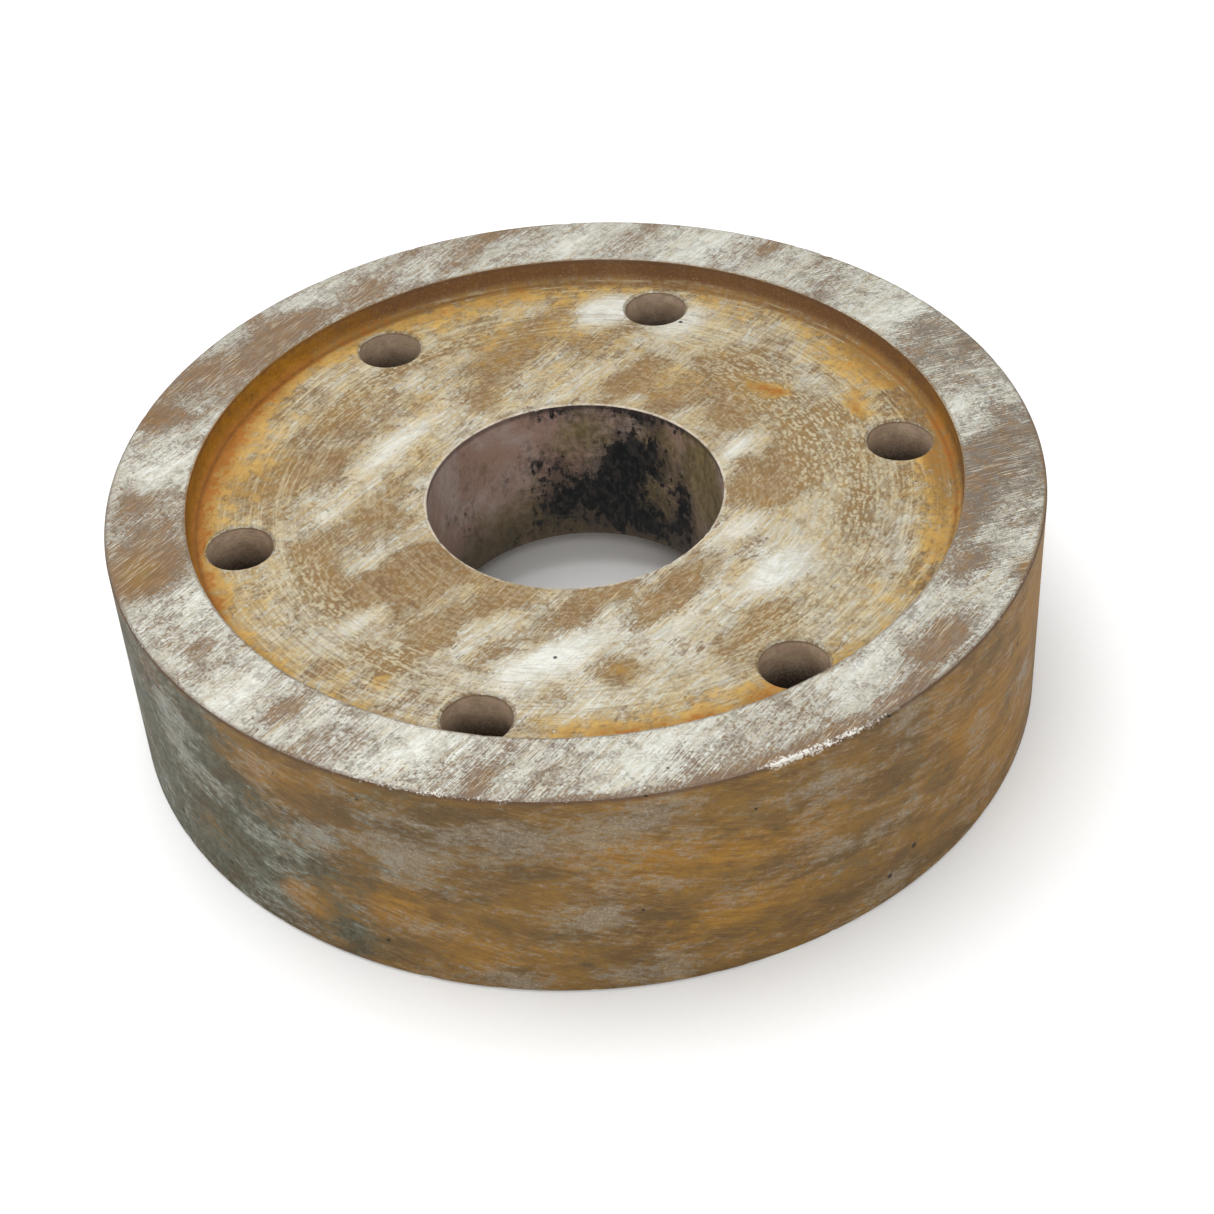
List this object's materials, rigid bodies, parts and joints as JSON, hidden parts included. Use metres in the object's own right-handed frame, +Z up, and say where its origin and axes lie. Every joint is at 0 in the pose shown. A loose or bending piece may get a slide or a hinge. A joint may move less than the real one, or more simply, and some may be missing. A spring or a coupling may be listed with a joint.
{
  "type": "banding wheel body",
  "caption": "Thick turned iron wheel ring with a raised rim round a recessed face, a large plain centre bore and plain bolt holes close to the recess wall.",
  "frame": {"origin": "centre of the lower rim face, on the bore's axis", "axes": "+Z up the bore out of the recessed upper face; +X through the two single bolt holes; +Y between the two holes of a pair"},
  "size_m": [0.25, 0.25, 0.066],
  "materials": {
    "rusted_iron": "turned, rusted and wire-brushed back to bare metal in patches"
  },
  "bodies": {
    "root": {"wheel_body": "rusted_iron"}
  },
  "joints": []
}
